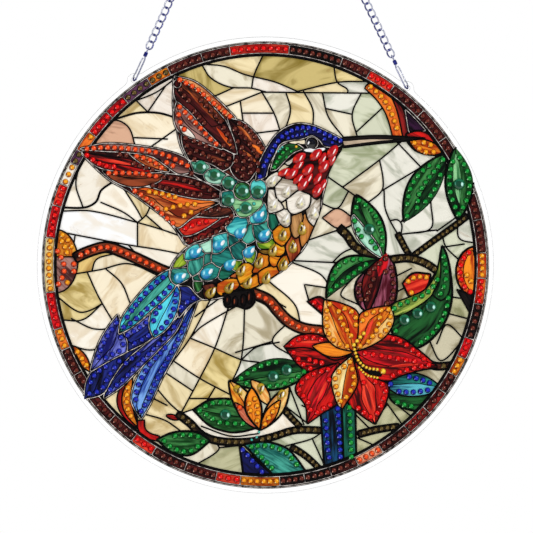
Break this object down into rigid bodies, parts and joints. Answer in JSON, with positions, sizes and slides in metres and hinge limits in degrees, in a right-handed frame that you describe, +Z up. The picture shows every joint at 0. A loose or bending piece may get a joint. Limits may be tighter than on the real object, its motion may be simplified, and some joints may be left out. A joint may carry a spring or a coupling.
{
  "type": "diamond painting ornament",
  "caption": "Round clear acrylic hanging panel with a gem-set stained-glass style picture of a hummingbird at a flower, on a thin steel chain hooked to its ears.",
  "frame": {"origin": "hanging point: the underside of the chain's top link, where a nail or hook carries it", "axes": "+Z up along the hanging plane, -Y out of the picture's front, +X to the right seen from the front"},
  "size_m": [0.2, 0.0065, 0.3057],
  "materials": {
    "clear_acrylic": "clear, polished",
    "printed_film": "printed in many colours, glossy, semi-transparent",
    "bright_steel": "polished, nickel plated",
    "emerald_gem": "faceted resin",
    "turquoise_gem": "faceted resin, pearly",
    "gold_gem": "faceted resin, foil backed",
    "clear_gem": "faceted resin, foil backed, pearly",
    "red_gem": "faceted resin",
    "black_gem": "faceted resin"
  },
  "bodies": {
    "root": {"panel": "clear_acrylic", "picture_film": "printed_film", "hook_left": "bright_steel", "hook_right": "bright_steel", "chain_left": "bright_steel", "chain_right": "bright_steel", "chain_top_link": "bright_steel", "back_gem_01": "turquoise_gem", "back_gem_02": "turquoise_gem", "back_gem_03": "turquoise_gem", "back_gem_04": "turquoise_gem", "back_gem_05": "turquoise_gem", "back_gem_06": "turquoise_gem", "back_gem_07": "turquoise_gem", "back_gem_08": "turquoise_gem", "back_gem_09": "turquoise_gem", "belly_gem_01": "gold_gem", "belly_gem_02": "gold_gem", "belly_gem_03": "gold_gem", "belly_gem_04": "gold_gem", "belly_gem_05": "gold_gem", "belly_gem_06": "gold_gem", "belly_gem_07": "gold_gem", "belly_gem_08": "gold_gem", "belly_gem_09": "gold_gem", "belly_gem_10": "gold_gem", "belly_gem_11": "gold_gem", "breast_gem_01": "clear_gem", "breast_gem_02": "clear_gem", "breast_gem_03": "clear_gem", "breast_gem_04": "clear_gem", "breast_gem_05": "clear_gem", "breast_gem_06": "clear_gem", "bud_gem_01": "gold_gem", "bud_gem_02": "gold_gem", "bud_gem_03": "gold_gem", "eye_gem_01": "black_gem", "leaf_gem_01": "emerald_gem", "leaf_gem_02": "emerald_gem", "leaf_gem_03": "emerald_gem", "leaf_gem_04": "emerald_gem", "leaf_gem_05": "emerald_gem", "leaf_gem_06": "emerald_gem", "leaf_gem_07": "emerald_gem", "leaf_gem_08": "emerald_gem", "shoulder_gem_01": "emerald_gem", "shoulder_gem_02": "emerald_gem", "shoulder_gem_03": "emerald_gem", "shoulder_gem_04": "emerald_gem", "shoulder_gem_05": "emerald_gem", "shoulder_gem_06": "emerald_gem", "shoulder_gem_07": "emerald_gem", "throat_gem_01": "red_gem", "throat_gem_02": "red_gem", "throat_gem_03": "red_gem", "throat_gem_04": "red_gem", "throat_gem_05": "red_gem", "throat_gem_06": "red_gem", "throat_gem_07": "red_gem", "throat_gem_08": "red_gem"}
  },
  "joints": []
}
